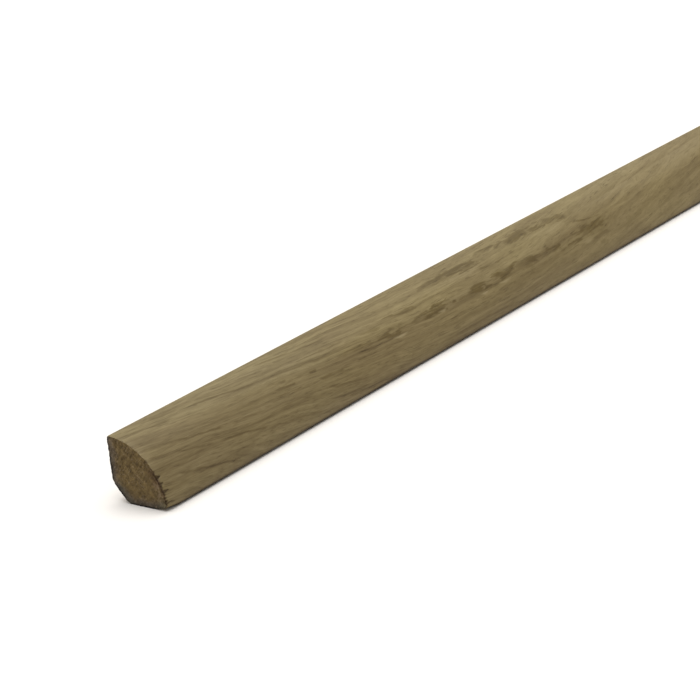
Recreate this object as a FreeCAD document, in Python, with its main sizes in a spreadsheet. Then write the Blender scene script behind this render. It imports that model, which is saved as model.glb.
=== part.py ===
"""Quarter round moulding: one machined length of solid oak.

The section is a quarter of a circle. The flat back stands against the wall or the skirting board, the
flat underside lies on the floor, and the round face looks into the room. The square corner between the
two flats is planed off in a bevel, so that the moulding seats past whatever fills the corner of the room.
The cutter also leaves its edges eased: widely along the bevel, less under the toe, least at the top.

Frame: +X along the length, +Y into the wall, +Z up. The origin lies on the floor, under the middle of
the moulding's length and depth. All sizes are in millimetres.
"""

import FreeCAD, Part
import Sketcher
import math
import os

OUT_DIR = "parts"

# Driving sizes: name, value, meaning
SIZES = (
    ("stock_length", 2400.0, "length that the moulding is sold in"),
    ("round_radius", 19.0, "radius of the round face, and so the height and the depth"),
    ("bevel_rise", 5.8, "how far the back bevel goes up the wall face"),
    ("bevel_run", 4.9, "how far the back bevel goes out along the floor face"),
    ("bevel_ease", 3.5, "radius along both edges of the back bevel"),
    ("toe_ease", 1.4, "radius under the toe, between the round face and the floor face"),
    ("top_ease", 0.4, "radius at the top, between the round face and the wall face"),
)

# An edge is the wanted one if its ends lie this near the wanted line
SAME_PLACE = 0.01

# The number of the origin and of the horizontal axis in a section, and of the points of a line or arc
SKETCH_ORIGIN = (-1, 1)
SKETCH_X_AXIS = -1
START, END, CENTRE = 1, 2, 3


def make_size_sheet(doc):
    """The sheet of driving sizes, one to a row: name, value, meaning."""
    sheet = doc.addObject("Spreadsheet::Sheet", "Sizes")
    for row, (name, value, meaning) in enumerate(SIZES, start=1):
        sheet.set(f"A{row}", name)
        sheet.set(f"B{row}", str(value))
        sheet.set(f"C{row}", meaning)
        sheet.setAlias(f"B{row}", name)
    doc.recompute()
    return sheet


def origin_plane(body, role):
    """One of the body's own origin planes, found by its role."""
    return next(plane for plane in body.Origin.OriginFeatures if plane.Role == role)


def bind(section, constraint, expression):
    """Ties the size of one constraint of the sketch to the sheet."""
    section.setExpression(f"Constraints[{constraint}]", expression)


def draw_section(body, sizes):
    """The section before its edges are eased: floor side, back bevel, wall side and quarter circle.

    The sketch's horizontal is +Y, into the wall, and its vertical is +Z.
    """
    section = body.newObject("Sketcher::SketchObject", "Section")
    section.AttachmentSupport = [(origin_plane(body, "YZ_Plane"), "")]
    section.MapMode = "FlatFace"

    radius = sizes.round_radius
    wall_at = radius / 2
    toe = FreeCAD.Vector(wall_at - radius, 0)
    bevel_foot = FreeCAD.Vector(wall_at - sizes.bevel_run, 0)
    bevel_head = FreeCAD.Vector(wall_at, sizes.bevel_rise)
    top = FreeCAD.Vector(wall_at, radius)
    circle = Part.Circle(FreeCAD.Vector(wall_at, 0), FreeCAD.Vector(0, 0, 1), radius)

    floor = section.addGeometry(Part.LineSegment(toe, bevel_foot))
    bevel = section.addGeometry(Part.LineSegment(bevel_foot, bevel_head))
    wall = section.addGeometry(Part.LineSegment(bevel_head, top))
    arc = section.addGeometry(Part.ArcOfCircle(circle, math.pi / 2, math.pi))

    add = section.addConstraint
    rule = Sketcher.Constraint
    add(rule("Coincident", floor, END, bevel, START))
    add(rule("Coincident", bevel, END, wall, START))
    add(rule("Coincident", wall, END, arc, START))
    add(rule("Coincident", arc, END, floor, START))
    add(rule("Vertical", wall))
    add(rule("PointOnObject", floor, START, SKETCH_X_AXIS))
    add(rule("PointOnObject", floor, END, SKETCH_X_AXIS))
    add(rule("PointOnObject", arc, CENTRE, SKETCH_X_AXIS))
    add(rule("PointOnObject", arc, CENTRE, wall))
    bind(section, add(rule("DistanceX", *SKETCH_ORIGIN, arc, CENTRE, wall_at)), "Sizes.round_radius / 2")
    bind(section, add(rule("Radius", arc, radius)), "Sizes.round_radius")
    bind(section, add(rule("DistanceX", bevel, START, bevel, END, sizes.bevel_run)), "Sizes.bevel_run")
    bind(section, add(rule("DistanceY", bevel, START, bevel, END, sizes.bevel_rise)), "Sizes.bevel_rise")
    return section


def long_edge(shape, y, z):
    """The name of the edge that runs along the whole length at the given place in the section."""

    def off_line(point):
        return math.hypot(point.y - y, point.z - z)

    for number, edge in enumerate(shape.Edges, start=1):
        if max(off_line(vertex.Point) for vertex in edge.Vertexes) < SAME_PLACE:
            return f"Edge{number}"
    raise RuntimeError(f"no edge runs along the length at y {y:.2f}, z {z:.2f}")


def ease(body, name, places, size_name):
    """Rounds the long edges at the given places of the section to a radius from the sheet."""
    worked = body.Tip
    edges = [long_edge(worked.Shape, y, z) for y, z in places]
    fillet = body.newObject("PartDesign::Fillet", name)
    fillet.Base = (worked, edges)
    fillet.setExpression("Radius", f"Sizes.{size_name}")
    body.Document.recompute()


def make_quarter_round(doc, sizes):
    """The moulding: its section drawn out to the stock length, then its edges eased."""
    body = doc.addObject("PartDesign::Body", "QuarterRound")
    body.Label = "quarter_round"
    section = draw_section(body, sizes)

    run = body.newObject("PartDesign::Pad", "Run")
    run.Profile = section
    run.SideType = "Symmetric"
    run.setExpression("Length", "Sizes.stock_length")
    doc.recompute()

    wall_at = sizes.round_radius / 2
    toe_at = wall_at - sizes.round_radius
    bevel_edges = [(wall_at, sizes.bevel_rise), (wall_at - sizes.bevel_run, 0)]
    ease(body, "BevelEase", bevel_edges, "bevel_ease")
    ease(body, "ToeEase", [(toe_at, 0)], "toe_ease")
    ease(body, "TopEase", [(wall_at, sizes.round_radius)], "top_ease")
    return body


def check(doc, pieces):
    """Stops the build if any object of the document, or any piece's solid, is at fault."""
    for item in doc.Objects:
        if "Invalid" in item.State or "Error" in item.State:
            raise RuntimeError(f"{item.Label} is in state {item.State}")
    for piece in pieces:
        shape = piece.Shape
        if shape.isNull() or not shape.isValid() or len(shape.Solids) != 1:
            raise RuntimeError(f"{piece.Label} is not one valid solid")


def main():
    doc = FreeCAD.newDocument("QuarterRoundMoulding")
    sizes = make_size_sheet(doc)
    pieces = [make_quarter_round(doc, sizes)]
    doc.recompute()
    check(doc, pieces)

    os.makedirs(OUT_DIR, exist_ok=True)
    for piece in pieces:
        piece.Shape.exportStep(os.path.join(OUT_DIR, f"{piece.Label}.step"))
        box = piece.Shape.BoundBox
        print(f"{piece.Label}: {piece.Shape.Volume:.1f} mm3, Y {box.YMin:.3f} to {box.YMax:.3f}, ", end="")
        print(f"X {box.XMin:.1f} to {box.XMax:.1f}, Z {box.ZMin:.3f} to {box.ZMax:.3f}")


main()
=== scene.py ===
import math

import bmesh
import bpy
from mathutils import Matrix, Vector


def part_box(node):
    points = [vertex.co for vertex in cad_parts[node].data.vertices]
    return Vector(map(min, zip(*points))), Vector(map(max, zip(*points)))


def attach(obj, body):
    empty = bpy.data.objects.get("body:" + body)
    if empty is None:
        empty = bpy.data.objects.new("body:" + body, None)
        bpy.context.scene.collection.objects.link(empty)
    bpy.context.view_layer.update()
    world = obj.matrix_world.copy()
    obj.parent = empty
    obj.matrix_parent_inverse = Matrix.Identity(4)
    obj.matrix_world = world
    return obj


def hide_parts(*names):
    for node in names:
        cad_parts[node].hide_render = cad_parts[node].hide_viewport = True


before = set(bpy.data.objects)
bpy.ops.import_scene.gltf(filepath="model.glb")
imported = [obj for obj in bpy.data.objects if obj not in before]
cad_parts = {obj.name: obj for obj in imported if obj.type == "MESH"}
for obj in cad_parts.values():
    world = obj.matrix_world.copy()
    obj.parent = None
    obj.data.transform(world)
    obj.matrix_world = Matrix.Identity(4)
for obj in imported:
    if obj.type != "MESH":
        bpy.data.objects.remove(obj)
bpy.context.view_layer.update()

# The moulding blank: one length of solid oak, run through a moulding machine in a single pass. The cutters
# leave a quarter round face over a flat back and a flat underside, plane off the square corner between the
# two flats, and ease every long edge.
BEVEL_RISE, BEVEL_RUN = 0.0058, 0.0049
BEVEL_EASE, TOE_EASE, TOP_EASE = 0.0035, 0.0014, 0.0004
TOP_STEPS, ROUND_STEPS, TOE_STEPS, FOOT_STEPS = 4, 134, 10, 52
EASE_STEPS, BEVEL_STEPS, BACK_STEPS = 8, 20, 56
WELD = 0.00001

# The frame's origin lies midway between the wall and the full reach of the round face
low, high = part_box("quarter_round")
near_end, far_end = low[0], high[0]
wall_at = high[1]
radius = 2 * wall_at

# How far each eased edge turns, and where the flats and the bevel run into it
top_turn = math.asin(TOP_EASE / (radius - TOP_EASE))
toe_turn = math.asin(TOE_EASE / (radius - TOE_EASE))
foot_turn = math.atan2(BEVEL_RISE, BEVEL_RUN)
head_turn = math.pi / 2 - foot_turn
foot_setback = BEVEL_EASE * math.tan(foot_turn / 2)
head_setback = BEVEL_EASE * math.tan(head_turn / 2)
top_z = (radius - TOP_EASE) * math.cos(top_turn)
toe_y = wall_at - (radius - TOE_EASE) * math.cos(toe_turn)
foot_y = wall_at - BEVEL_RUN - foot_setback
head_z = BEVEL_RISE + head_setback
bevel_width = math.hypot(BEVEL_RISE, BEVEL_RUN) - foot_setback - head_setback


def turn_round(y, z, angle, steps):
    """Draws the outline on, as an arc about that centre."""
    bpy.ops.mesh.spin(steps=steps, angle=-angle, center=(near_end, y, z), axis=(1, 0, 0))


def run_on(y, z, steps):
    """Draws the outline on, straight, by that much in all."""
    for _ in range(steps):
        bpy.ops.mesh.extrude_region_move(TRANSFORM_OT_translate={"value": (0, y / steps, z / steps)})


# The outline starts as one point at the top of the back and goes round over the toe to where it started
bpy.ops.object.select_all(action="DESELECT")
bpy.ops.mesh.primitive_plane_add(size=TOP_EASE, location=(near_end, 0, 0), rotation=(0, -math.pi / 2, 0))
moulding = bpy.context.object
moulding.name = moulding.data.name = "quarter_round_oak"
bpy.ops.object.transform_apply(location=True, rotation=True, scale=True)
bpy.ops.object.mode_set(mode="EDIT")
bpy.ops.mesh.select_all(action="SELECT")
bpy.ops.mesh.merge(type="CENTER")
bpy.ops.transform.translate(value=(0, wall_at, top_z))
turn_round(wall_at - TOP_EASE, top_z, math.pi / 2 + top_turn, TOP_STEPS)
turn_round(wall_at, 0, math.pi / 2 - top_turn - toe_turn, ROUND_STEPS)
turn_round(toe_y, TOE_EASE, math.pi / 2 + toe_turn, TOE_STEPS)
run_on(foot_y - toe_y, 0, FOOT_STEPS)
turn_round(foot_y, BEVEL_EASE, foot_turn, EASE_STEPS)
run_on(bevel_width * math.cos(foot_turn), bevel_width * math.sin(foot_turn), BEVEL_STEPS)
turn_round(wall_at - BEVEL_EASE, head_z, head_turn, EASE_STEPS)
run_on(0, top_z - head_z, BACK_STEPS)
bpy.ops.mesh.select_all(action="SELECT")
bpy.ops.mesh.remove_doubles(threshold=WELD)

# The end is filled with a square mesh of quads, and the blank is run out along its length in steps that are
# short at both ends, where the saw has torn the wood.
FIRST_STEP, FINE_STEPS, STEP_GROWTH, LONGEST_STEP = 0.00026, 15, 1.25, 0.06
SMOOTH_UNDER = math.radians(30)
outline = bmesh.from_edit_mesh(moulding.data)
top_corner = min(outline.verts, key=lambda vert: (vert.co - Vector((near_end, wall_at, radius))).length)
outline.select_history.clear()
outline.select_history.add(top_corner)
bpy.ops.mesh.fill_grid(span=len(outline.verts) // 4)
end_steps = [FIRST_STEP] * FINE_STEPS
while end_steps[-1] < LONGEST_STEP:
    end_steps.append(end_steps[-1] * STEP_GROWTH)
middle = far_end - near_end - 2 * sum(end_steps)
middle_count = math.ceil(middle / LONGEST_STEP)
for step in end_steps + [middle / middle_count] * middle_count + end_steps[::-1]:
    bpy.ops.mesh.extrude_region_move(TRANSFORM_OT_translate={"value": (step, 0, 0)})
bpy.ops.mesh.select_all(action="SELECT")
bpy.ops.mesh.normals_make_consistent(inside=False)
bpy.ops.object.mode_set(mode="OBJECT")
bpy.ops.object.shade_smooth_by_angle(angle=SMOOTH_UNDER)

# Both ends are left as a coarse saw cut them: the fibres are torn off a little unevenly, and the arris is
# nibbled all round. Low on the round face of the near end the blade has torn out splinters where it broke
# through.
FUZZ, FUZZ_GRAIN = 0.00025, 0.0009
NIBBLE, NIBBLE_GRAIN, NIBBLE_REACH = 0.00045, 0.0007, 0.0009
# How readily the arris gives: where the blade broke through, on the rest of the round face, and on the flats
TORN_GIVE, ROUND_GIVE, FLAT_GIVE = 1.0, 0.7, 0.25
TORN_FROM, TORN_TO = 50, 88
ON_THE_CUT = 0.00001
# A tear leans in along the length as well, by one part in this many of its depth
TEAR_LEAN = 3
# Each tear: degrees down the round face, degrees wide, reach along the face, depth
TEARS = (
    (16.8, 1.8, 0.0004, 0.0002),
    (31.0, 1.4, 0.0003, 0.0002),
    (43.6, 2.0, 0.0006, 0.0003),
    (59.8, 4.4, 0.0014, 0.0005),
    (65.6, 2.2, 0.0017, 0.0003),
    (67.9, 1.8, 0.0005, 0.00025),
    (72.6, 3.2, 0.0026, 0.0003),
    (75.4, 2.4, 0.0007, 0.00025),
    (79.2, 2.0, 0.0006, 0.0004),
    (81.8, 1.6, 0.0008, 0.0004),
    (84.0, 2.2, 0.0038, 0.0002),
)
faces = moulding.data.polygons
end_faces = [face.index for face in faces if abs(face.normal.x) > 0.5]
side_points = {index for face in faces if abs(face.normal.x) < 0.5 for index in face.vertices}
as_planed = [vert.co.copy() for vert in moulding.data.vertices]


def from_end(place):
    """How far a place lies from the nearer end."""
    return min(place.x - near_end, far_end - place.x)


def from_centre(place):
    """How far a place on the section lies from the centre of the round face's arc."""
    return math.hypot(wall_at - place.y, place.z)


def down_the_round(place):
    """Degrees from the top of the round face, about the centre of its arc."""
    return math.degrees(math.atan2(wall_at - place.y, place.z))


def roughen(name, points, grain, strength, direction, middle, contrast, brightness):
    """Displaces the weighted points by a cloudy pattern of that grain, for good."""
    group = moulding.vertex_groups.new(name=name)
    for index, weight in points:
        group.add([index], weight, "REPLACE")
    clouds = bpy.data.textures.new(name, type="CLOUDS")
    clouds.noise_scale = grain
    clouds.noise_depth = 2
    clouds.contrast = contrast
    clouds.intensity = brightness
    modifier = moulding.modifiers.new(name, "DISPLACE")
    modifier.texture = clouds
    modifier.texture_coords = "LOCAL"
    modifier.vertex_group = name
    modifier.direction = direction
    modifier.strength = strength
    modifier.mid_level = middle
    bpy.ops.object.modifier_apply(modifier=modifier.name)


cut_points = [(index, 1.0) for index, place in enumerate(as_planed) if from_end(place) < ON_THE_CUT]
arris_points = []
for index in side_points:
    place = as_planed[index]
    if from_end(place) < NIBBLE_REACH:
        torn_side = place.x < 0 and TORN_FROM < down_the_round(place) < TORN_TO
        on_the_round = from_centre(place) > radius - TOE_EASE / 2
        give = TORN_GIVE if torn_side else ROUND_GIVE if on_the_round else FLAT_GIVE
        arris_points.append((index, (1 - from_end(place) / NIBBLE_REACH) * give))
roughen(
    "saw_fuzz",
    cut_points,
    grain=FUZZ_GRAIN,
    strength=FUZZ,
    direction="X",
    middle=0.5,
    contrast=1.2,
    brightness=1.0,
)
roughen(
    "nibbled_arris",
    arris_points,
    grain=NIBBLE_GRAIN,
    strength=NIBBLE,
    direction="NORMAL",
    middle=1.0,
    contrast=2.6,
    brightness=1.25,
)

bpy.ops.object.mode_set(mode="EDIT")
bpy.ops.mesh.select_mode(type="VERT")
torn_mesh = bmesh.from_edit_mesh(moulding.data)
for angle, width, reach, depth in TEARS:
    bpy.ops.mesh.select_all(action="DESELECT")
    for vert in torn_mesh.verts:
        place = as_planed[vert.index]
        share = 1 - (place.x - near_end) / reach
        if share > 0 and from_centre(place) > radius - depth:
            vert.select = abs(down_the_round(place) - angle) < width / 2 * share
    torn_mesh.select_flush_mode()
    turned = math.radians(angle)
    inward = (depth / TEAR_LEAN, depth * math.sin(turned), -depth * math.cos(turned))
    bpy.ops.transform.translate(value=inward)
bpy.ops.mesh.select_all(action="DESELECT")
bpy.ops.object.mode_set(mode="OBJECT")

# How far each point of the round and flat faces has been torn out, for the finish to darken, partly with the
# torn wood's own colour and partly with painted shade in the hollows
FULLY_TORN = 0.0003
torn = moulding.data.attributes.new("torn", "FLOAT", "POINT")
for index in side_points:
    moved = moulding.data.vertices[index].co - as_planed[index]
    torn.data[index].value = min(1, math.hypot(moved.y, moved.z) / FULLY_TORN)

# The toe corner of the near end has been knocked blunt since: the wood is pushed up and toward the wall in
# small steps, each of them over a smaller reach.
WORN_REACH, WORN_STEPS, WORN_RISE, WORN_DRAW = 0.005, 8, 0.0008, 0.0002
toe_corner = Vector((near_end, low[1], low[2]))
bpy.ops.object.mode_set(mode="EDIT")
worn_mesh = bmesh.from_edit_mesh(moulding.data)
for worn_step in range(WORN_STEPS):
    reach = WORN_REACH * (1 - worn_step / WORN_STEPS)
    for vert in worn_mesh.verts:
        vert.select = (as_planed[vert.index] - toe_corner).length < reach
    worn_mesh.select_flush_mode()
    bpy.ops.transform.translate(value=(0, WORN_DRAW / WORN_STEPS, WORN_RISE / WORN_STEPS))
bpy.ops.mesh.select_all(action="DESELECT")
bpy.ops.object.mode_set(mode="OBJECT")


# The oak itself, as it grew: growth rings that cross the section from wall to toe, fibres that wander along
# the length, open pores in the early wood, and rays that lie flat to the round face a third of the way down.
# All its sizes are in millimetres.
MM = 1000
RING_WIDTH = 2.3
RAY_TILT = math.radians(35)
# The fibres bow across the rings in one long wave: how far, how long it is, where along the length it
# crests, and how much sooner for each millimetre across
GRAIN_WAVE, GRAIN_WAVE_LENGTH, GRAIN_CREST, GRAIN_LAG = 13, 610, 160, 1.7
# They also wander in shorter bends: the size of these, and how far across the rings they reach
GRAIN_BENDS = (
    ((420, 60, 60), 10.0),
    ((110, 11, 11), 2.5),
    ((22, 4, 4), 2.4),
)


def put(tree, kind, feeds, **settings):
    """Adds a node of that kind with these settings, and feeds its inputs with sockets or plain values."""
    node = tree.nodes.new(kind)
    for name, value in settings.items():
        setattr(node, name, value)
    for name, value in feeds.items():
        if isinstance(value, bpy.types.NodeSocket):
            tree.links.new(value, node.inputs[name])
        else:
            node.inputs[name].default_value = value
    return node


def maths(tree, operation, *values):
    """The result of one sum on sockets and plain values."""
    return put(tree, "ShaderNodeMath", dict(enumerate(values)), operation=operation).outputs[0]


def times(tree, first, second):
    """The product of two sockets or plain values."""
    return maths(tree, "MULTIPLY", first, second)


def noise(tree, place, sizes, detail=1.0, roughness=0.5, shift=0.0):
    """Noise from 0 to 1, its blobs about so many millimetres long, wide across the rings and thick."""
    scaled = put(
        tree,
        "ShaderNodeMapping",
        {"Vector": place, "Location": (shift, shift, shift), "Scale": [1 / size for size in sizes]},
    )
    texture = put(
        tree,
        "ShaderNodeTexNoise",
        {"Vector": scaled.outputs[0], "Scale": 1.0, "Detail": detail, "Roughness": roughness},
    )
    return texture.outputs["Fac"]


def ramp(tree, value, start, stop, low_value=0.0, high_value=1.0):
    """Eases from the low value to the high one as the input goes from start to stop."""
    feeds = {"Value": value, "From Min": start, "From Max": stop, "To Min": low_value, "To Max": high_value}
    return put(tree, "ShaderNodeMapRange", feeds, interpolation_type="SMOOTHSTEP").outputs[0]


def straight_ramp(tree, value, start, stop, low_value, high_value):
    """Goes evenly from the low value to the high one as the input goes from start to stop."""
    feeds = {"Value": value, "From Min": start, "From Max": stop, "To Min": low_value, "To Max": high_value}
    return put(tree, "ShaderNodeMapRange", feeds).outputs[0]


def profile(tree, value, stops):
    """Reads the value off a smooth curve given as pairs of place and height."""
    node = put(tree, "ShaderNodeValToRGB", {"Fac": value})
    node.color_ramp.interpolation = "EASE"
    elements = node.color_ramp.elements
    while len(elements) < len(stops):
        elements.new(0.5)
    for element, (place, height) in zip(elements, stops):
        element.position = place
        element.color = (height, height, height, 1)
    return node.outputs["Color"]


def mixed(tree, share, first, second):
    """One colour over another, by that share."""
    node = put(tree, "ShaderNodeMix", {0: share}, data_type="RGBA")
    for socket, value in ((node.inputs[6], first), (node.inputs[7], second)):
        if isinstance(value, bpy.types.NodeSocket):
            tree.links.new(value, socket)
        else:
            socket.default_value = (*value, 1)
    return node.outputs[2]


def tinted(tree, colour, share, tint):
    """The colour times a tint, by that share."""
    node = put(tree, "ShaderNodeMix", {0: share}, data_type="RGBA", blend_type="MULTIPLY")
    tree.links.new(colour, node.inputs[6])
    node.inputs[7].default_value = (*tint, 1)
    return node.outputs[2]


def grown_oak(tree):
    """Where a place lies in the wood, in millimetres, with the section turned so that the rays lie level.

    It gives how far along the place is, how far across the rings once the fibres' bends are added, the place
    itself, and the place bent along with the fibres.
    """
    where = put(tree, "ShaderNodeTexCoord", {}).outputs["Object"]
    turned = put(
        tree,
        "ShaderNodeMapping",
        {"Vector": where, "Rotation": (-RAY_TILT, 0, 0), "Scale": (MM, MM, MM)},
    ).outputs[0]
    axes = put(tree, "ShaderNodeSeparateXYZ", {0: turned}).outputs
    along = maths(tree, "SUBTRACT", axes[0], near_end * MM)
    lagged = maths(tree, "MULTIPLY_ADD", axes[1], GRAIN_LAG, maths(tree, "SUBTRACT", along, GRAIN_CREST))
    wave = maths(tree, "COSINE", times(tree, lagged, 2 * math.pi / GRAIN_WAVE_LENGTH))
    wandering = maths(tree, "MULTIPLY_ADD", wave, GRAIN_WAVE, axes[1])
    for sizes, reach in GRAIN_BENDS:
        wandering = maths(tree, "MULTIPLY_ADD", noise(tree, turned, sizes), reach, wandering)
    straight = put(tree, "ShaderNodeCombineXYZ", {0: along, 1: axes[1], 2: axes[2]}).outputs[0]
    bent = put(tree, "ShaderNodeCombineXYZ", {0: along, 1: wandering, 2: axes[2]}).outputs[0]
    return along, wandering, straight, bent


# Broad rays run almost level with the round face and break it in two rows of flecks. A fleck is crisp along
# its upper edge and frayed below, mostly with a thin tail toward the near end, and a few have a pale spot
# beneath. The whole figure comes again at regular lengths, and is strongest about its middle.
FIGURE_REPEAT, FIGURE_MIDDLE = 430, 170
# The wood is duller along both rows: how far down the round face, as a share of it, and how dull there
FIGURE_TONES = (
    (0.0, 0.55),
    (0.15, 0.6),
    (0.215, 1.0),
    (0.28, 0.95),
    (0.34, 0.3),
    (0.5, 0.1),
    (0.54, 1.0),
    (0.66, 0.75),
    (0.8, 0.55),
    (1.0, 0.5),
)
# Each fleck: where it starts and stops along the length, how many degrees down the round face its upper edge
# lies at both, the degrees it covers where it is thickest, the share of its length where that is, and how
# dark it is. The thick faint ones are broad shades behind and beyond the crisp ones.
FLECKS = (
    (86, 105, 43, 45, 9, 0.7, 0.6),
    (102, 124, 48, 46.5, 7.5, 0.6, 0.85),
    (117, 134, 46.5, 48, 4, 0.5, 0.6),
    (122, 147, 50, 45, 9, 0.75, 1.0),
    (141, 162, 49.5, 49.5, 4, 0.5, 0.55),
    (149, 171, 50, 48, 10.5, 0.55, 1.0),
    (166, 187, 43.5, 49, 11, 0.4, 0.95),
    (180, 204, 47.5, 48, 6, 0.5, 0.85),
    (183, 196, 50, 52, 18, 0.4, 0.4),
    (191, 220, 49, 49.5, 7.5, 0.5, 0.95),
    (201, 212, 56, 56, 2.6, 0.7, 0.7),
    (213, 232, 58, 53, 6, 0.5, 0.9),
    (214, 250, 47.5, 51, 8.5, 0.4, 1.0),
    (224, 244, 51, 52, 25, 0.5, 0.45),
    (93, 114, 34, 38, 2.6, 0.6, 0.6),
    (105, 138, 30, 37, 3.6, 0.5, 0.8),
    (110, 128, 20, 23, 4.5, 0.5, 0.6),
    (130, 140, 29, 30, 3, 0.5, 0.5),
    (133, 154, 22, 19, 9, 0.6, 0.8),
    (139, 177, 18, 20, 11, 0.5, 1.0),
    (146, 169, 17, 19, 4, 0.5, 1.0),
    (136, 160, 24, 25, 7, 0.5, 0.5),
    (159, 174, 27, 23, 5, 0.6, 0.8),
    (167, 185, 34, 36, 3.4, 0.5, 0.7),
    (166, 212, 16.5, 15.5, 10, 0.6, 0.95),
    (200, 217, 21, 22, 6, 0.5, 1.0),
    (208, 230, 13, 25, 11, 0.5, 0.85),
    (218, 244, 35, 48, 3.8, 0.4, 1.0),
    (220, 400, 52, 18, 44, 0.5, 0.11),
)
# Before the flecks begin, single growth rings show as thin dark lines, given as the flecks are
LINED_TO = 95
RING_LINES = (
    (-8, 24, 7, 21.5, 1.4, 0.4, 0.9),
    (12, 25, 9.5, 13, 1.2, 0.5, 0.7),
    (23, 58, 14, 30.5, 1.6, 0.5, 1.0),
    (55, 90, 29, 40, 1.4, 0.5, 0.7),
    (38, 62, 10, 21.5, 1.3, 0.4, 0.7),
    (58, 92, 9.5, 22, 1.6, 0.4, 0.9),
    (68, 95, 27, 33, 1.3, 0.6, 0.8),
    (-6, 13, 30.5, 38, 1.2, 0.4, 0.7),
    (8, 33, 38, 50, 1.4, 0.6, 1.0),
    (15, 36, 35, 41, 1.1, 0.5, 0.5),
    (56, 66, 42.5, 46, 1.6, 0.5, 0.9),
    (57, 63, 37, 39.5, 1.3, 0.6, 0.9),
    (72, 76, 43, 43.5, 1.8, 0.4, 1.0),
    (-6, 12, 42, 47, 1.3, 0.4, 0.8),
    (10, 31, 48.5, 60.5, 1.4, 0.6, 0.9),
    (27, 49, 58.5, 67.5, 1.5, 0.5, 1.0),
    (34, 50, 51, 54, 1.3, 0.4, 0.6),
    (55, 68, 49.5, 52, 1.3, 0.5, 0.8),
    (74, 88, 53, 56.5, 1.8, 0.3, 0.9),
    (-5, 9, 52, 56, 1.2, 0.4, 0.8),
    (56, 73, 58, 62, 1.2, 0.5, 0.6),
    (69, 92, 60.5, 72, 1.3, 0.5, 0.8),
    (7, 34, 65, 80, 1.7, 0.5, 1.0),
    (48, 74, 69, 80.5, 1.4, 0.5, 0.8),
    (74, 96, 73, 81, 1.4, 0.5, 0.9),
)
# Pale spots beneath the flecks and paler stretches beside them, given the same way
PALE_SPOTS = (
    (111, 121, 54, 55, 3.2, 0.4, 0.4),
    (136, 142, 53, 53, 3.2, 0.5, 0.4),
    (158, 165, 57, 58, 3.2, 0.5, 0.4),
    (170, 180, 57, 57, 3.2, 0.4, 0.4),
    (219, 232, 60, 61, 7, 0.5, 0.15),
    (148, 172, 29, 31, 7, 0.5, 0.15),
    (194, 228, 28, 31, 9, 0.5, 0.15),
    (222, 390, 31, 8, 24, 0.4, 0.16),
)
# Where a fleck's edge starts to show and where it shows in full, in degrees: the upper edge, and the lower
# one, which takes a share of the fleck's thickness as well
EDGE_START, UPPER_FULL, LOWER_FULL, LOWER_SHARE = -0.8, 1, 0.5, 0.45
THIN_TAIL = 0.1
# How far past the start of the figure the ring lines fade out, and how far before it they come in again
LINED_FADE, LINED_LEAD = 25, 15


def swing(tree, pattern, reach):
    """Turns noise into a push of up to that reach to either side."""
    return ramp(tree, pattern, 0.25, 0.75, -reach, reach)


def flecked(tree, flecks, along, down, frayed, blunt=1):
    """How strongly flecks from that list show at a place on the round face.

    Frayed makes them thicker or thinner from place to place. Blunt ones keep their width nearer the ends.
    """
    shown = 0.0
    for start, stop, edge_start, edge_stop, thickest, fullest, strength in flecks:
        turn_over = start + (stop - start) * fullest
        edge = straight_ramp(tree, along, start, stop, edge_start, edge_stop)
        tail = straight_ramp(tree, along, start, turn_over, THIN_TAIL, 1)
        swell = times(tree, tail, ramp(tree, along, stop, turn_over))
        if blunt != 1:
            swell = maths(tree, "MINIMUM", times(tree, swell, blunt), 1)
        below = maths(tree, "SUBTRACT", down, edge)
        left = maths(tree, "SUBTRACT", times(tree, times(tree, swell, thickest), frayed), below)
        upper = ramp(tree, below, EDGE_START, UPPER_FULL)
        lower = ramp(tree, left, EDGE_START, LOWER_FULL + LOWER_SHARE * thickest)
        covered = times(tree, times(tree, upper, lower), ramp(tree, swell, 0.1, 0.3, 0, strength))
        shown = maths(tree, "MAXIMUM", shown, covered)
    return shown


def on_section(tree):
    """Millimetres out from the wall and up from the floor, and degrees down the round face."""
    where = put(tree, "ShaderNodeTexCoord", {}).outputs["Object"]
    place = put(tree, "ShaderNodeSeparateXYZ", {0: where}).outputs
    from_wall = times(tree, maths(tree, "SUBTRACT", wall_at, place[1]), MM)
    from_floor = times(tree, maths(tree, "SUBTRACT", place[2], low[2]), MM)
    down = maths(tree, "DEGREES", maths(tree, "ARCTAN2", from_wall, from_floor))
    return from_wall, from_floor, down


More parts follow.
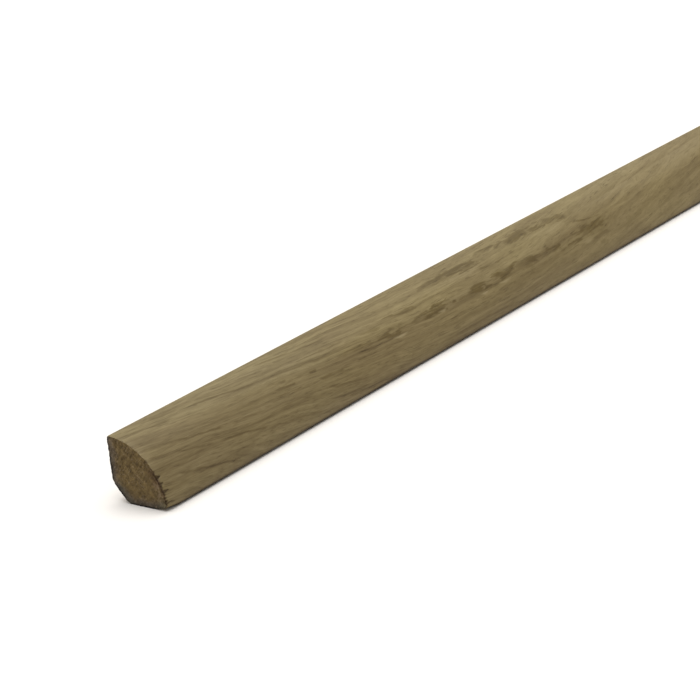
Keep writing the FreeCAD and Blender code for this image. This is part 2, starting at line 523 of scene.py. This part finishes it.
def ray_figure(tree, along, down, straight, bent):
    """How strongly flecks, pale spots, dull rows and ring lines show, and the part that the lines take."""
    lumps = noise(tree, straight, (11, 3, 3), detail=2, shift=31)
    swirls = noise(tree, straight, (5, 1.6, 1.6), detail=2, shift=35)
    feathers = noise(tree, bent, (7, 0.7, 2), detail=3, roughness=0.65, shift=33)
    warped_down = maths(tree, "ADD", down, swing(tree, lumps, 2.5))
    warped_down = maths(tree, "ADD", warped_down, swing(tree, swirls, 1.5))
    warped_along = maths(tree, "ADD", along, swing(tree, swirls, 4))
    repeated = maths(tree, "WRAP", warped_along, FIGURE_REPEAT, 0)
    evenly = maths(tree, "WRAP", along, FIGURE_REPEAT, 0)

    dark = flecked(tree, FLECKS, repeated, warped_down, ramp(tree, feathers, 0.25, 0.75, 0.5, 1.6))
    dark = times(tree, dark, ramp(tree, feathers, 0.3, 0.65, 0.55, 1.05))
    pale = flecked(tree, PALE_SPOTS, evenly, down, 1.0)
    pale = times(tree, pale, ramp(tree, feathers, 0.3, 0.6, 0.4, 1.3))

    from_middle = maths(tree, "SUBTRACT", repeated, FIGURE_MIDDLE)
    turn = times(tree, from_middle, 2 * math.pi / FIGURE_REPEAT)
    rows = profile(tree, maths(tree, "DIVIDE", warped_down, 90), FIGURE_TONES)
    dull = times(tree, ramp(tree, maths(tree, "COSINE", turn), -0.1, 0.8), rows)

    gently_warped = maths(tree, "MULTIPLY_ADD", maths(tree, "SUBTRACT", warped_down, down), 0.3, down)
    gently_warped = maths(tree, "ADD", gently_warped, swing(tree, feathers, 0.8))
    ringed = flecked(tree, RING_LINES, evenly, gently_warped, 1.35, blunt=3)
    # The lines run up to the near end itself, and fade in where the figure starts again
    begun = maths(tree, "MAXIMUM", ramp(tree, evenly, 0, 4), ramp(tree, along, 8, 4))
    ringed = times(tree, times(tree, ringed, begun), ramp(tree, feathers, 0.3, 0.6, 0.6, 1.1))
    lined_part = maths(
        tree,
        "MAXIMUM",
        ramp(tree, evenly, LINED_TO, LINED_TO - LINED_FADE),
        ramp(tree, evenly, FIGURE_REPEAT - LINED_LEAD, FIGURE_REPEAT),
    )
    return dark, pale, dull, ringed, lined_part


# The planed finish covers the two flats and the round face: bare wood as the cutters leave it, smooth, with
# its pores open. The toe is darkened toward the floor with painted shade, with a darker line of painted
# shade along the foot, and the near end is bruised and splintered.
DEEP_WOOD, LIGHT_WOOD = (0.234, 0.179, 0.074), (0.295, 0.234, 0.1055)
PALE_RAY, BRUISED = (0.38, 0.31, 0.165), (0.38, 0.30, 0.175)
# What each kind of mark leaves of the wood's colour
LONG_TONE, PATCHED, WOOLLEN = (0.95, 0.935, 0.95), (0.94, 0.93, 0.96), (0.89, 0.88, 0.85)
DENSE_WOOD, EARLY_WOOD, FIBROUS = (0.93, 0.91, 0.885), (0.74, 0.70, 0.60), (0.78, 0.76, 0.7)
THIN_RAY, FINE_LINE, PORE, DASH = (0.72, 0.68, 0.6), (0.62, 0.58, 0.48), (0.55, 0.5, 0.4), (0.66, 0.62, 0.52)
LINED_TONE, RING_LINE = (0.948, 0.96, 0.972), (0.6, 0.545, 0.41)
DULL_ROW, DARK_RAY = (0.87, 0.853, 0.83), (0.57, 0.51, 0.29)
TOE_FLOOR_SHADE, FOOT_LINE_SHADE = (0.91, 0.91, 0.91), (0.28, 0.25, 0.23)
SNAGGED_AND_SHADED, TORN_AND_SHADED = (0.6, 0.53, 0.45), (0.5, 0.42, 0.34)
# How open the wood is across a growth ring, from its early wood to its late wood
PLANED_RING = ((0, 0.5), (0.07, 1), (0.2, 0.8), (0.45, 0.3), (0.8, 0.08), (1, 0.5))
# In millimetres: the length of one swing of the wood's tone, and where across the rings they grow denser
TONE_LENGTH = 640
DENSE_FROM, DENSE_TO = 25.3, 23.3
# How far up from the floor the painted foot shade and toe shade reach, and where out from the wall they
# start
FOOT_SHADE_HEIGHT, TOE_FLOOR_SHADE_SPAN, TOE_SHADE_FROM = 1.5, (4.0, 1.2), (17.2, 18.3)
# How far in from the near end the round face is bruised
BRUISE = 3.5


def with_toe_shade(tree, colour, from_wall, from_floor):
    """The colour with painted shade: a darker toe toward the floor and a dark line along the foot."""
    at_toe = ramp(tree, from_wall, *TOE_SHADE_FROM)
    # Painted shade: the toe darkens toward the floor
    shaded_toe = times(tree, at_toe, ramp(tree, from_floor, *TOE_FLOOR_SHADE_SPAN))
    colour = tinted(tree, colour, shaded_toe, TOE_FLOOR_SHADE)
    # Painted shade: a dark line along the foot, where the toe meets the floor
    shaded_foot_line = times(tree, at_toe, ramp(tree, from_floor, FOOT_SHADE_HEIGHT, FOOT_SHADE_HEIGHT / 3))
    return tinted(tree, colour, shaded_foot_line, FOOT_LINE_SHADE)


def knocked(tree, colour, along, down, woolly, fibre):
    """The colour with the near end's bruises high up and snagged fibres low down, and both ends' tears.
    The snags along the arris and the tears are darker partly with painted shade.
    """
    bruised = times(tree, ramp(tree, along, BRUISE, 0.3), ramp(tree, woolly, 0.3, 0.6))
    high_up = times(tree, bruised, ramp(tree, down, 60, 45))
    colour = mixed(tree, times(tree, high_up, 0.12), colour, BRUISED)
    # Low on the round face at the very end, snagged fibres and painted arris shade darken the edge
    snag_and_shade = times(tree, ramp(tree, along, 0.6, 0.2), ramp(tree, down, 55, 62))
    snag_and_shade = times(tree, snag_and_shade, ramp(tree, fibre, 0.65, 0.4))
    colour = tinted(tree, colour, snag_and_shade, SNAGGED_AND_SHADED)
    # The tears are darker: the torn wood's own colour, with painted shade in their hollows
    ripped = put(tree, "ShaderNodeAttribute", {}, attribute_name="torn").outputs["Fac"]
    return tinted(tree, colour, ramp(tree, ripped, 0.1, 1.0), TORN_AND_SHADED)


def planed_finish():
    """Oak as the cutters leave it: smooth, with the pores open and the rays showing as darker flecks."""
    material = bpy.data.materials.new("planed_oak")
    material.use_nodes = True
    tree = material.node_tree
    shader = tree.nodes["Principled BSDF"]
    along, wandering, straight, bent = grown_oak(tree)

    uneven = noise(tree, bent, (40, 3, 3), detail=2)
    across = maths(tree, "MULTIPLY_ADD", uneven, 1.6, wandering)
    ring = maths(tree, "FRACT", maths(tree, "DIVIDE", across, RING_WIDTH))
    early = profile(tree, ring, PLANED_RING)
    strength = ramp(tree, noise(tree, bent, (60, 2.5, 6), shift=7), 0.3, 0.7, 0.35, 1)
    banded = times(tree, early, strength)
    shifted = maths(tree, "MULTIPLY_ADD", noise(tree, bent, (90, 20, 20), shift=17), 80, along)
    tone = maths(tree, "COSINE", times(tree, shifted, 2 * math.pi / TONE_LENGTH))
    from_wall, from_floor, down = on_section(tree)
    dark, pale, dull, ringed, lined_part = ray_figure(tree, along, down, straight, bent)
    # The fine marks are fainter where the wood's tone is light and where single ring lines show
    fine = times(tree, ramp(tree, tone, -0.9, 0.8, 0.25, 1), ramp(tree, lined_part, 0, 1, 1, 0.55))
    fibre = noise(tree, bent, (13, 0.5, 0.5), detail=2, roughness=0.6, shift=3)
    streak = noise(tree, bent, (55, 1.8, 1.8), detail=1, shift=5)
    woolly = noise(tree, bent, (4.5, 0.9, 0.9), detail=3, roughness=0.65, shift=25)
    patch = noise(tree, bent, (50, 7, 7), detail=1, shift=15)
    lines = ramp(tree, noise(tree, bent, (26, 0.45, 1.6), detail=1, shift=21), 0.57, 0.7)
    pores = ramp(tree, noise(tree, bent, (4.5, 0.25, 0.25), detail=1, shift=11), 0.56, 0.7)
    dashes = ramp(tree, noise(tree, bent, (5, 0.6, 0.6), detail=1, shift=27), 0.63, 0.72)
    dense = ramp(tree, wandering, DENSE_FROM, DENSE_TO)
    thin_rays = ramp(tree, noise(tree, straight, (12, 30, 0.5), detail=1, shift=41), 0.6, 0.74)
    porous = times(tree, pores, ramp(tree, banded, 0, 0.8, 0.25, 0.9))
    lined = times(tree, times(tree, lines, fine), 0.8)

    colour = mixed(tree, ramp(tree, streak, 0.3, 0.7), DEEP_WOOD, LIGHT_WOOD)
    colour = tinted(tree, colour, ramp(tree, tone, -0.6, 0.9), LONG_TONE)
    colour = tinted(tree, colour, ramp(tree, patch, 0.35, 0.65), PATCHED)
    colour = tinted(tree, colour, ramp(tree, woolly, 0.35, 0.65), WOOLLEN)
    colour = tinted(tree, colour, dense, DENSE_WOOD)
    colour = tinted(tree, colour, times(tree, banded, fine), EARLY_WOOD)
    colour = tinted(tree, colour, times(tree, ramp(tree, fibre, 0.3, 0.7, 0.9, 0), fine), FIBROUS)
    colour = tinted(tree, colour, times(tree, thin_rays, 0.35), THIN_RAY)
    colour = tinted(tree, colour, lined, FINE_LINE)
    colour = tinted(tree, colour, porous, PORE)
    colour = tinted(tree, colour, times(tree, dashes, fine), DASH)
    colour = tinted(tree, colour, lined_part, LINED_TONE)
    colour = tinted(tree, colour, ringed, RING_LINE)
    colour = tinted(tree, colour, dull, DULL_ROW)
    colour = tinted(tree, colour, dark, DARK_RAY)
    colour = mixed(tree, pale, colour, PALE_RAY)
    colour = with_toe_shade(tree, colour, from_wall, from_floor)
    colour = knocked(tree, colour, along, down, woolly, fibre)
    tree.links.new(colour, shader.inputs["Base Color"])

    open_grain = maths(tree, "MAXIMUM", porous, lined)
    height = maths(tree, "MULTIPLY_ADD", fibre, 0.4, times(tree, open_grain, -1.0))
    bump = put(tree, "ShaderNodeBump", {"Height": height, "Strength": 0.6, "Distance": 0.00005})
    tree.links.new(bump.outputs["Normal"], shader.inputs["Normal"])
    tree.links.new(ramp(tree, dark, 0, 1, 0.62, 0.5), shader.inputs["Roughness"])
    shader.inputs["Specular IOR Level"].default_value = 0.35
    return material


# The sawn finish covers both ends: oak cut across its fibres by a coarse saw, dark, torn and dull, greyer
# toward the flats. Its edges darken, more so low down, to a near-black rim along the flats and the bevel;
# along the floor and the bevel this is painted shade. Rays cross it as thin light lines, and torn fibres
# show as light specks.
RIM_WOOD, HEART_WOOD = (0.178, 0.137, 0.092), (0.200, 0.139, 0.056)
GREY_WOOD, TOE_WOOD = (0.170, 0.150, 0.104), (0.165, 0.145, 0.080)
RAY_END, SPECK, LIFTED = (0.26, 0.195, 0.125), (0.265, 0.205, 0.14), (0.24, 0.175, 0.115)
# What each kind of mark leaves of that
STREAKED, MOTTLED, BLOTCHED = (0.64, 0.61, 0.54), (0.74, 0.74, 0.73), (0.77, 0.76, 0.77)
EARLY_END, PITTED = (0.76, 0.72, 0.66), (0.5, 0.45, 0.40)
SPLINTERED, SCUFFED = (0.5, 0.41, 0.36), (0.76, 0.69, 0.69)
LOW_END, DARK_EDGE_AND_SHADE, DARK_RIM_AND_SHADE = (0.88, 0.88, 0.89), (0.76, 0.79, 0.84), (0.2, 0.2, 0.22)
# How open the wood is across a growth ring, as the saw leaves it
SAWN_RING = ((0, 0.4), (0.1, 1), (0.35, 0.5), (0.75, 0), (1, 0.4))


def broken_through(tree, colour, down, out, mottle):
    """The colour with lifted, splintered and scuffed wood by the round face, where the saw broke through."""
    leg = radius * MM
    lifted = times(tree, ramp(tree, down, 58, 66), ramp(tree, down, 84, 76))
    lifted = times(tree, lifted, ramp(tree, out, leg - 3.6, leg - 1.6))
    lifted = times(tree, lifted, ramp(tree, mottle, 0.6, 0.4, 0, 0.45))
    colour = mixed(tree, lifted, colour, LIFTED)
    splintered = times(tree, ramp(tree, out, leg - 1.2, leg - 0.3), ramp(tree, down, 50, 60))
    splintered = times(tree, splintered, ramp(tree, mottle, 0.35, 0.55))
    colour = tinted(tree, colour, splintered, SPLINTERED)
    scuffed = times(tree, ramp(tree, down, 46, 54), ramp(tree, down, 70, 62))
    scuffed = times(tree, scuffed, ramp(tree, out, leg - 3.2, leg - 1.4))
    return tinted(tree, colour, scuffed, SCUFFED)


def sawn_finish():
    """Oak across the fibres, as a coarse saw leaves it."""
    material = bpy.data.materials.new("sawn_oak")
    material.use_nodes = True
    tree = material.node_tree
    shader = tree.nodes["Principled BSDF"]
    _, wandering, straight, _ = grown_oak(tree)

    from_wall, from_floor, down = on_section(tree)
    spoke = put(tree, "ShaderNodeCombineXYZ", {1: from_wall, 2: from_floor}).outputs[0]
    out = put(tree, "ShaderNodeVectorMath", {0: spoke}, operation="LENGTH").outputs["Value"]
    toe = (0, radius * MM, 0)
    from_toe = put(tree, "ShaderNodeVectorMath", {0: spoke, 1: toe}, operation="DISTANCE").outputs["Value"]
    bevel_reach = BEVEL_RISE * BEVEL_RUN / math.hypot(BEVEL_RISE, BEVEL_RUN) * MM
    past_bevel = maths(tree, "MULTIPLY_ADD", from_wall, math.cos(head_turn), -bevel_reach)
    toward_bevel = maths(tree, "MULTIPLY_ADD", from_floor, math.sin(head_turn), past_bevel)
    from_flats = maths(tree, "MINIMUM", from_wall, from_floor)
    from_edge = maths(tree, "MINIMUM", from_flats, toward_bevel)
    ragged = noise(tree, straight, (2, 1.2, 1.2), detail=2, shift=51)
    frayed = maths(tree, "MULTIPLY_ADD", ragged, 0.9, from_edge)
    clouds = noise(tree, straight, (9, 3, 3), detail=2, shift=53)
    cloudy = maths(tree, "MULTIPLY_ADD", clouds, 5.0, from_edge)

    ring = maths(tree, "FRACT", maths(tree, "DIVIDE", wandering, RING_WIDTH))
    early = profile(tree, ring, SAWN_RING)
    streaks = noise(tree, straight, (4, 0.65, 2.2), detail=2, roughness=0.6, shift=55)
    mottle = noise(tree, straight, (3, 0.9, 0.9), detail=2, shift=57)
    blotch = noise(tree, straight, (5, 4.6, 1.7), detail=1, shift=63)
    pits = ramp(tree, noise(tree, straight, (2, 0.35, 0.45), detail=1, shift=59), 0.58, 0.7)
    rays = ramp(tree, noise(tree, straight, (9, 7, 0.35), detail=1, shift=61), 0.6, 0.75)
    specks = ramp(tree, noise(tree, straight, (2, 0.45, 0.9), detail=1, shift=65), 0.6, 0.72)

    colour = mixed(tree, ramp(tree, cloudy, 3.4, 6.0), RIM_WOOD, HEART_WOOD)
    grey = times(tree, ramp(tree, toward_bevel, 3.4, 1.2), ramp(tree, blotch, 0.3, 0.55))
    colour = mixed(tree, times(tree, grey, 0.8), colour, GREY_WOOD)
    colour = mixed(tree, ramp(tree, from_toe, 5.0, 2.0, 0, 0.6), colour, TOE_WOOD)
    streaked = times(tree, ramp(tree, streaks, 0.35, 0.65), ramp(tree, from_floor, 5, 12, 0.5, 1))
    colour = tinted(tree, colour, streaked, STREAKED)
    colour = tinted(tree, colour, ramp(tree, mottle, 0.35, 0.65), MOTTLED)
    colour = tinted(tree, colour, ramp(tree, blotch, 0.4, 0.62), BLOTCHED)
    colour = tinted(tree, colour, times(tree, early, 0.5), EARLY_END)
    colour = tinted(tree, colour, times(tree, pits, 0.8), PITTED)
    rayed = times(tree, rays, ramp(tree, from_floor, 12, 5, 0.3, 0.6))
    colour = mixed(tree, rayed, colour, RAY_END)
    colour = mixed(tree, times(tree, specks, 0.4), colour, SPECK)
    colour = broken_through(tree, colour, down, out, mottle)
    low_down = ramp(tree, maths(tree, "MINIMUM", toward_bevel, from_floor), 5, 1.5)
    colour = tinted(tree, colour, low_down, LOW_END)
    # The end darkens toward its edges, more so low down; toward the floor and the bevel this is painted
    # shade
    dark_edge_and_shade = times(tree, ramp(tree, from_edge, 1.9, 0.6), ramp(tree, from_floor, 17, 11, 0.25, 1))
    colour = tinted(tree, colour, dark_edge_and_shade, DARK_EDGE_AND_SHADE)
    # A near-black rim along the flats and the bevel; along the floor and the bevel it is painted shade
    colour = tinted(tree, colour, ramp(tree, frayed, 1.15, 0.7), DARK_RIM_AND_SHADE)
    tree.links.new(colour, shader.inputs["Base Color"])

    pitted = maths(tree, "MULTIPLY_ADD", mottle, 0.6, times(tree, pits, -0.6))
    height = maths(tree, "MULTIPLY_ADD", streaks, 0.6, pitted)
    bump = put(tree, "ShaderNodeBump", {"Height": height, "Strength": 0.8, "Distance": 0.0002})
    tree.links.new(bump.outputs["Normal"], shader.inputs["Normal"])
    shader.inputs["Roughness"].default_value = 0.85
    shader.inputs["Specular IOR Level"].default_value = 0.2
    return material


SAWN = 1
moulding.data.materials.append(planed_finish())
moulding.data.materials.append(sawn_finish())
for index in end_faces:
    moulding.data.polygons[index].material_index = SAWN

# The faces are laid out flat in rows: the length cut in three, each third a row that goes once round the
# section, and both ends side by side above them.
ROWS, ROW_HEIGHT, ROW_GAP = 3, 0.285, 0.004
OVERRUN = LONGEST_STEP
END_SIDE, END_GAP = 0.11, 0.01
# A point well inside the section, as shares of a leg out from the wall and up from the floor
INSIDE_OUT, INSIDE_UP = 0.4, 0.45
row_length = (far_end - near_end) / ROWS
middle_y, middle_z = wall_at - INSIDE_OUT * radius, INSIDE_UP * radius
seam_turn = math.atan2(-middle_z, wall_at - middle_y)


def round_section(place):
    """The share of a full turn round the section, from the back bevel."""
    return (math.atan2(place.z - middle_z, place.y - middle_y) - seam_turn) / (2 * math.pi) % 1


def laid_on_row(place, row, face_turn):
    """Where a place on the long faces lies in the layout, in that row and on its face's side of the seam."""
    turn = round_section(place)
    turn -= round(turn - face_turn)
    share = (place.x - near_end - row * row_length + OVERRUN) / (row_length + 2 * OVERRUN)
    return share, row * (ROW_HEIGHT + ROW_GAP) + turn * ROW_HEIGHT


def laid_on_shelf(place):
    """Where a place on either end lies in the layout, above the rows."""
    shelf = 0 if place.x < 0 else END_SIDE + END_GAP
    return shelf + (wall_at - place.y) / radius * END_SIDE, 1 - END_SIDE + place.z / radius * END_SIDE


layout = moulding.data.uv_layers.new(name="OFBake")
for face in moulding.data.polygons:
    row = min(ROWS - 1, int((face.center.x - near_end) / row_length))
    face_turn = round_section(face.center)
    for loop in face.loop_indices:
        place = as_planed[moulding.data.loops[loop].vertex_index]
        on_end = face.material_index == SAWN
        layout.data[loop].uv = laid_on_shelf(place) if on_end else laid_on_row(place, row, face_turn)

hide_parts("quarter_round")
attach(moulding, "root")

# The floor is no part of the moulding: a plain, pale and matt sheet that it lies on.
FLOOR_SIZE = 60
FLOOR_COLOUR = (0.88, 0.85, 0.81)
bpy.ops.object.select_all(action="DESELECT")
bpy.ops.mesh.primitive_plane_add(size=FLOOR_SIZE, location=(0, 0, low[2]))
floor = bpy.context.object
floor.name = "floor"
floor_paint = bpy.data.materials.new("pale_floor")
floor_paint.use_nodes = True
matt = floor_paint.node_tree.nodes["Principled BSDF"]
matt.inputs["Base Color"].default_value = (*FLOOR_COLOUR, 1)
matt.inputs["Roughness"].default_value = 1
matt.inputs["Specular IOR Level"].default_value = 0
floor.data.materials.append(floor_paint)

# The light is one broad soft lamp overhead, with a little light from all round.
ROOM_LIGHT = 0.47
LAMP_LIGHT, LAMP_WIDTH = 2.7, math.radians(60)
LAMP_TILT = (math.radians(-8), math.radians(5), 0)
world = bpy.data.worlds.new("room")
world.use_nodes = True
world.node_tree.nodes["Background"].inputs["Color"].default_value = (1, 1, 1, 1)
world.node_tree.nodes["Background"].inputs["Strength"].default_value = ROOM_LIGHT
bpy.context.scene.world = world
bpy.ops.object.light_add(type="SUN", rotation=LAMP_TILT)
lamp = bpy.context.object
lamp.name = "overhead_softbox"
lamp.data.energy = LAMP_LIGHT
lamp.data.angle = LAMP_WIDTH

# The camera is low, off the near end and on the room side, as in the photograph of 700 by 700 pixels. It is
# placed by the corner where the wall and the floor would meet at the near end: its pixel, and its distance
# along the line of sight.
PHOTO_SIDE = 700
FOCAL_PIXELS = 2192
SENSOR_WIDTH = 36
AZIMUTH, ELEVATION, ROLL = math.radians(-52.03), math.radians(19.22), math.radians(-5.83)
CORNER_PIXEL = (115.58, 500.80)
CORNER_DEPTH = 0.5943
back = Vector(
    (
        math.sin(AZIMUTH) * math.cos(ELEVATION),
        -math.cos(AZIMUTH) * math.cos(ELEVATION),
        math.sin(ELEVATION),
    )
)
level_right = (-back).cross(Vector((0, 0, 1))).normalized()
level_up = level_right.cross(-back)
right = level_right * math.cos(ROLL) + level_up * math.sin(ROLL)
up = level_up * math.cos(ROLL) - level_right * math.sin(ROLL)
across = (CORNER_PIXEL[0] - PHOTO_SIDE / 2) / FOCAL_PIXELS * CORNER_DEPTH
above = (PHOTO_SIDE / 2 - CORNER_PIXEL[1]) / FOCAL_PIXELS * CORNER_DEPTH
corner = Vector((near_end, wall_at, 0))
stand = corner - across * right - above * up + CORNER_DEPTH * back
bpy.ops.object.camera_add()
camera = bpy.context.object
camera.data.sensor_width = SENSOR_WIDTH
camera.data.lens = FOCAL_PIXELS / PHOTO_SIDE * SENSOR_WIDTH
camera.matrix_world = Matrix.Translation(stand) @ Matrix((right, up, back)).transposed().to_4x4()
bpy.context.scene.camera = camera
bpy.context.scene.view_settings.view_transform = "Standard"
